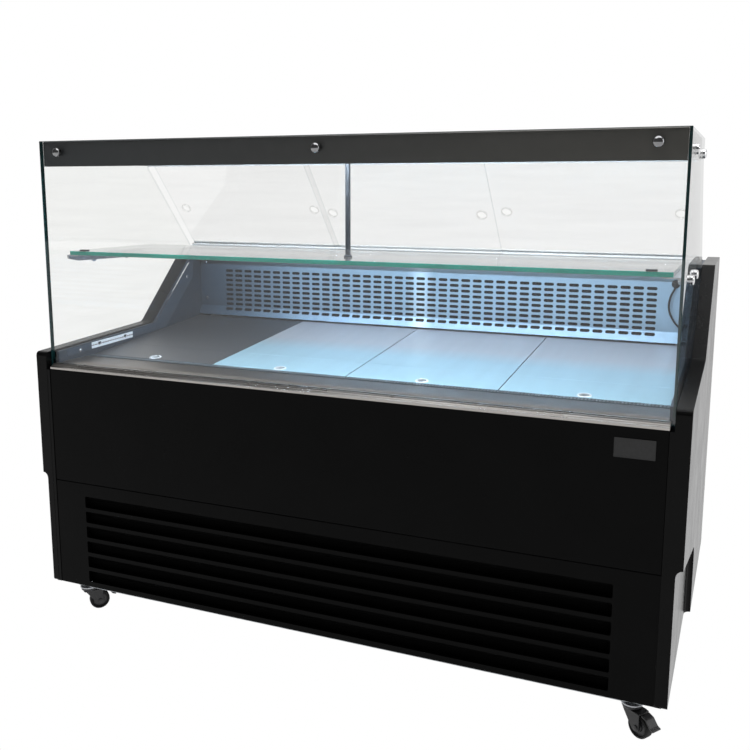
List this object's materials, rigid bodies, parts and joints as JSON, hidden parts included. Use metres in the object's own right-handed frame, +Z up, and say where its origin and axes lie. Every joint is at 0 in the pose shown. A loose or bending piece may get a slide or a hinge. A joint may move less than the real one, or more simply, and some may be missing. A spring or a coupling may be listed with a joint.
{
  "type": "refrigerated deli case",
  "caption": "Free-standing refrigerated deli display case with square bolted glass, glass shelf, ventilated deck, rear sliding doors and louvred base on castors.",
  "frame": {"origin": "bottom centre of the case's bounding box, on the floor under the castors", "axes": "+X to the customer's right, +Y to the serving side at the back, +Z up"},
  "size_m": [1.55, 0.936, 1.204],
  "materials": {
    "black_panel": "satin moulded plastic",
    "black_sheet": "satin powder coat",
    "anthracite": "anthracite, brushed look",
    "stainless": "brushed, blue-white under the lamp",
    "sill_steel": "brushed, warm grey",
    "aluminium": "extruded, satin anodised",
    "chrome": "polished",
    "zinc": "zinc plated",
    "galvanised": "galvanised sheet",
    "foam_shell": "sheet-faced foam",
    "clear_glass": "clear float glass with green edges",
    "acrylic": "clear acrylic",
    "dark_plastic": "matt moulded",
    "rubber": "matt",
    "white_plastic": "opal diffuser",
    "copper": "copper tube and fins"
  },
  "bodies": {
    "case": {"side_panel_left": "black_panel", "side_panel_right": "black_panel", "front_panel": "black_sheet", "kick_panel": "black_sheet", "compressor": "black_sheet", "canopy": "anthracite", "side_liner_left": "stainless", "side_liner_right": "stainless", "air_return_grille": "stainless", "air_duct_panel": "stainless", "worktop": "stainless", "front_sill": "sill_steel", "glass_channel": "aluminium", "door_track_lower": "aluminium", "evaporator_coil": "aluminium", "glass_knob_1": "chrome", "glass_knob_2": "chrome", "glass_knob_3": "chrome", "shelf_bracket_left": "zinc", "shelf_bracket_right": "zinc", "base_frame": "galvanised", "rear_upper_panel": "galvanised", "rear_service_panel": "galvanised", "condenser_fan_motor": "galvanised", "evaporator_fan_plate": "galvanised", "insulated_tub": "foam_shell", "front_glass": "clear_glass", "side_glass_left": "clear_glass", "side_glass_right": "clear_glass", "shelf_glass": "clear_glass", "badge_plate": "dark_plastic", "shelf_post": "dark_plastic", "drain_tray": "dark_plastic", "controller": "dark_plastic", "lamp_lead": "rubber", "led_light_bar": "white_plastic", "condenser_coil": "copper"},
    "door_left": {"door_left": "acrylic"},
    "door_middle": {"door_middle": "acrylic"},
    "door_right": {"door_right": "acrylic"},
    "deck_plate_1": {"deck_plate_1": "stainless"},
    "deck_plate_2": {"deck_plate_2": "stainless"},
    "deck_plate_3": {"deck_plate_3": "stainless"},
    "deck_plate_4": {"deck_plate_4": "stainless"},
    "castor_front_left": {"castor_fork_front_left": "dark_plastic"},
    "wheel_front_left": {"castor_wheel_front_left": "rubber"},
    "brake_front_left": {"brake_pedal_front_left": "dark_plastic"},
    "castor_front_right": {"castor_fork_front_right": "dark_plastic"},
    "wheel_front_right": {"castor_wheel_front_right": "rubber"},
    "brake_front_right": {"brake_pedal_front_right": "dark_plastic"},
    "castor_rear_left": {"castor_fork_rear_left": "dark_plastic"},
    "wheel_rear_left": {"castor_wheel_rear_left": "rubber"},
    "castor_rear_right": {"castor_fork_rear_right": "dark_plastic"},
    "wheel_rear_right": {"castor_wheel_rear_right": "rubber"},
    "condenser_fan": {"condenser_fan": "aluminium"},
    "evaporator_fan_left": {"evaporator_fan_left": "dark_plastic"},
    "evaporator_fan_right": {"evaporator_fan_right": "dark_plastic"},
    "controller_button_up": {"controller_button_up": "rubber"},
    "controller_button_down": {"controller_button_down": "rubber"},
    "power_switch": {"power_switch": "dark_plastic"}
  },
  "joints": [
    {"name": "door_left_slide", "type": "slide", "parent": "case", "child": "door_left", "axis": [1, 0, 0], "range_m": [0, 0.47]},
    {"name": "door_middle_slide", "type": "slide", "parent": "case", "child": "door_middle", "axis": [1, 0, 0], "range_m": [-0.484, 0.484]},
    {"name": "door_right_slide", "type": "slide", "parent": "case", "child": "door_right", "axis": [1, 0, 0], "range_m": [-0.47, 0]},
    {"name": "deck_plate_1_lift", "type": "slide", "parent": "case", "child": "deck_plate_1", "axis": [0, 0, 1], "range_m": [0, 0.06]},
    {"name": "deck_plate_2_lift", "type": "slide", "parent": "case", "child": "deck_plate_2", "axis": [0, 0, 1], "range_m": [0, 0.06]},
    {"name": "deck_plate_3_lift", "type": "slide", "parent": "case", "child": "deck_plate_3", "axis": [0, 0, 1], "range_m": [0, 0.06]},
    {"name": "deck_plate_4_lift", "type": "slide", "parent": "case", "child": "deck_plate_4", "axis": [0, 0, 1], "range_m": [0, 0.06]},
    {"name": "front_left_swivel", "type": "hinge", "parent": "case", "child": "castor_front_left", "pos_m": [-0.69, -0.418, 0.06], "axis": [0, 0, 1], "continuous": true},
    {"name": "front_left_roll", "type": "hinge", "parent": "castor_front_left", "child": "wheel_front_left", "pos_m": [-0.67452, -0.39966, 0.025], "axis": [-0.7643, 0.6448, 0], "continuous": true},
    {"name": "front_left_brake", "type": "hinge", "parent": "castor_front_left", "child": "brake_front_left", "pos_m": [-0.66808, -0.39201, 0.054], "axis": [-0.7643, 0.6448, 0], "range_deg": [0, 12]},
    {"name": "front_right_swivel", "type": "hinge", "parent": "case", "child": "castor_front_right", "pos_m": [0.69, -0.418, 0.06], "axis": [0, 0, 1], "continuous": true},
    {"name": "front_right_roll", "type": "hinge", "parent": "castor_front_right", "child": "wheel_front_right", "pos_m": [0.70981, -0.43155, 0.025], "axis": [0.5646, 0.8253, 0], "continuous": true},
    {"name": "front_right_brake", "type": "hinge", "parent": "castor_front_right", "child": "brake_front_right", "pos_m": [0.71806, -0.4372, 0.054], "axis": [0.5646, 0.8253, 0], "range_deg": [0, 12]},
    {"name": "rear_left_swivel", "type": "hinge", "parent": "case", "child": "castor_rear_left", "pos_m": [-0.69, 0.404, 0.06], "axis": [0, 0, 1], "continuous": true},
    {"name": "rear_left_roll", "type": "hinge", "parent": "castor_rear_left", "child": "wheel_rear_left", "pos_m": [-0.67452, 0.42234, 0.025], "axis": [-0.7643, 0.6448, 0], "continuous": true},
    {"name": "rear_right_swivel", "type": "hinge", "parent": "case", "child": "castor_rear_right", "pos_m": [0.69, 0.404, 0.06], "axis": [0, 0, 1], "continuous": true},
    {"name": "rear_right_roll", "type": "hinge", "parent": "castor_rear_right", "child": "wheel_rear_right", "pos_m": [0.70981, 0.39045, 0.025], "axis": [0.5646, 0.8253, 0], "continuous": true},
    {"name": "condenser_fan_spin", "type": "hinge", "parent": "case", "child": "condenser_fan", "pos_m": [0, -0.309, 0.254], "axis": [0, 1, 0], "continuous": true},
    {"name": "evaporator_fan_left_spin", "type": "hinge", "parent": "case", "child": "evaporator_fan_left", "pos_m": [-0.3, 0.012, 0.592], "axis": [0, 1, 0], "continuous": true},
    {"name": "evaporator_fan_right_spin", "type": "hinge", "parent": "case", "child": "evaporator_fan_right", "pos_m": [0.3, 0.012, 0.592], "axis": [0, 1, 0], "continuous": true},
    {"name": "controller_button_up_press", "type": "slide", "parent": "case", "child": "controller_button_up", "axis": [0, -1, 0], "range_m": [0, 0.0015], "stiffness_N_per_m": 400},
    {"name": "controller_button_down_press", "type": "slide", "parent": "case", "child": "controller_button_down", "axis": [0, -1, 0], "range_m": [0, 0.0015], "stiffness_N_per_m": 400},
    {"name": "power_switch_rock", "type": "hinge", "parent": "case", "child": "power_switch", "pos_m": [0.4, 0.44, 0.7], "axis": [1, 0, 0], "range_deg": [0, 15]}
  ]
}
